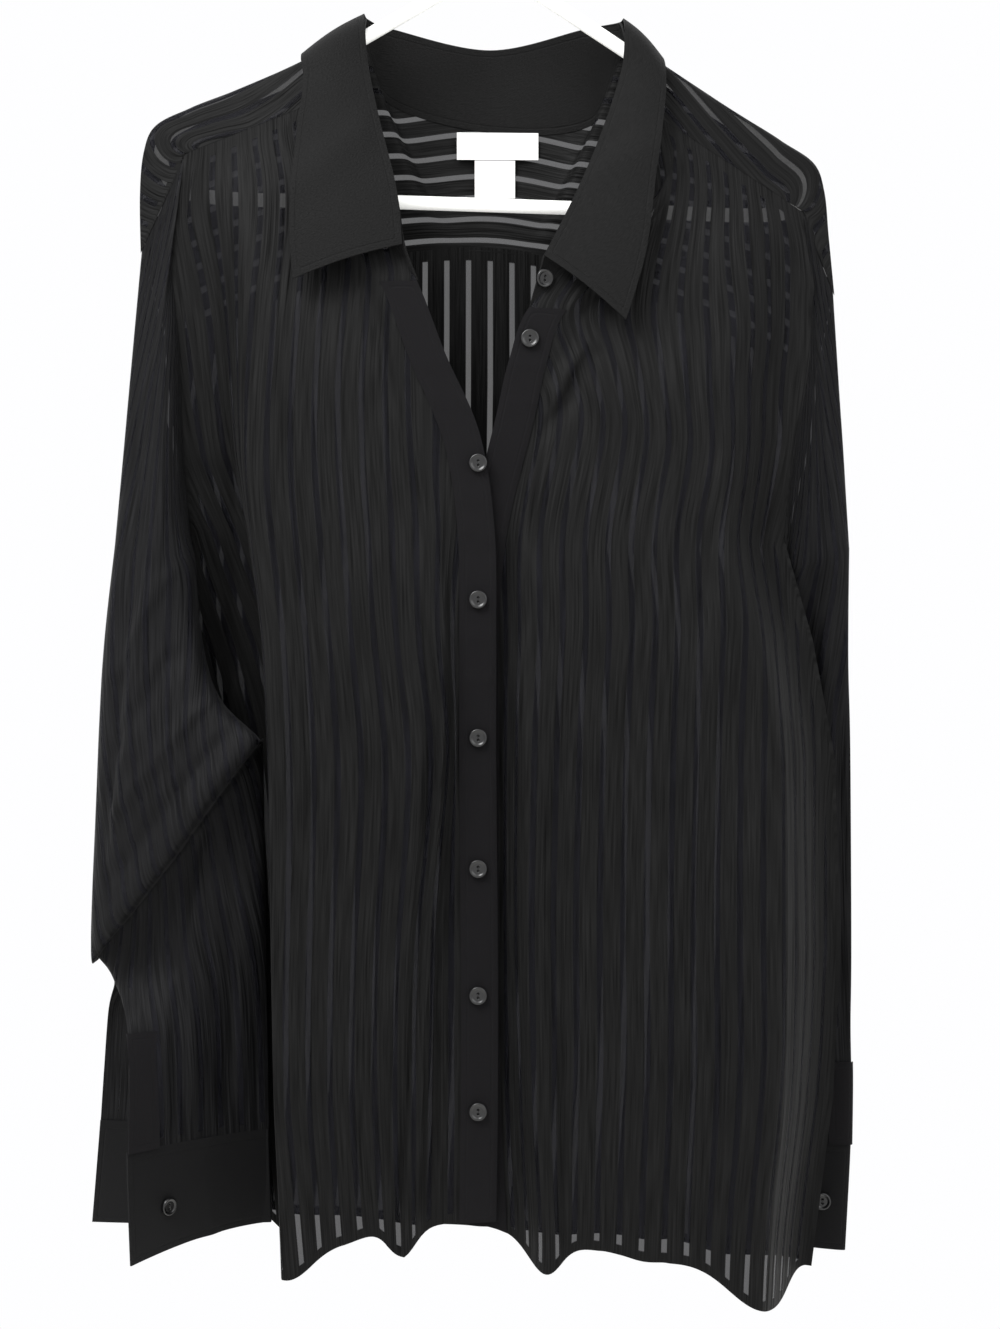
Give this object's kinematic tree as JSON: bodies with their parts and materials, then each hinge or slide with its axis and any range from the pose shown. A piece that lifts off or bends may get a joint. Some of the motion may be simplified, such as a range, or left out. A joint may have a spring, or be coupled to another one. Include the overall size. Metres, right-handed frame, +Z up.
{
  "type": "sheer button-down shirt on a hanger",
  "caption": "Long-sleeved sheer striped shirt with a pointed collar, button front and cuffs, hanging open at the neck on a white tube hanger.",
  "frame": {"origin": "where the inside top of the hanger's hook rests on a rail", "axes": "+Z up, the front of the shirt faces -Y, +X is to the viewer's right, at the wearer's left"},
  "size_m": [0.4918, 0.1205, 0.8943],
  "materials": {
    "sheer_cloth": "thin crinkled cloth with clear stripes",
    "lined_cloth": "matte, doubled cloth",
    "dark_button": "polished with a brighter rim",
    "white_plastic": "smooth moulded",
    "white_satin": "smooth woven tape, bare"
  },
  "bodies": {
    "root": {"hanger": "white_plastic", "front_right": "sheer_cloth", "front_left": "sheer_cloth", "back": "sheer_cloth", "yoke": "sheer_cloth", "sleeve_right": "sheer_cloth", "sleeve_left": "sheer_cloth", "sleeve_placket_right": "sheer_cloth", "sleeve_placket_left": "sheer_cloth", "placket_buttonholes": "sheer_cloth", "placket_buttons": "sheer_cloth", "cuff_right": "lined_cloth", "cuff_left": "lined_cloth", "collar_fall": "lined_cloth", "collar_stand": "lined_cloth", "label_main": "white_satin", "label_size": "white_satin", "button_front_1": "dark_button", "button_front_2": "dark_button", "button_front_3": "dark_button", "button_front_4": "dark_button", "button_front_5": "dark_button", "button_front_6": "dark_button", "button_front_7": "dark_button", "button_stand": "dark_button", "button_cuff_right": "dark_button", "button_cuff_left": "dark_button"}
  },
  "joints": []
}
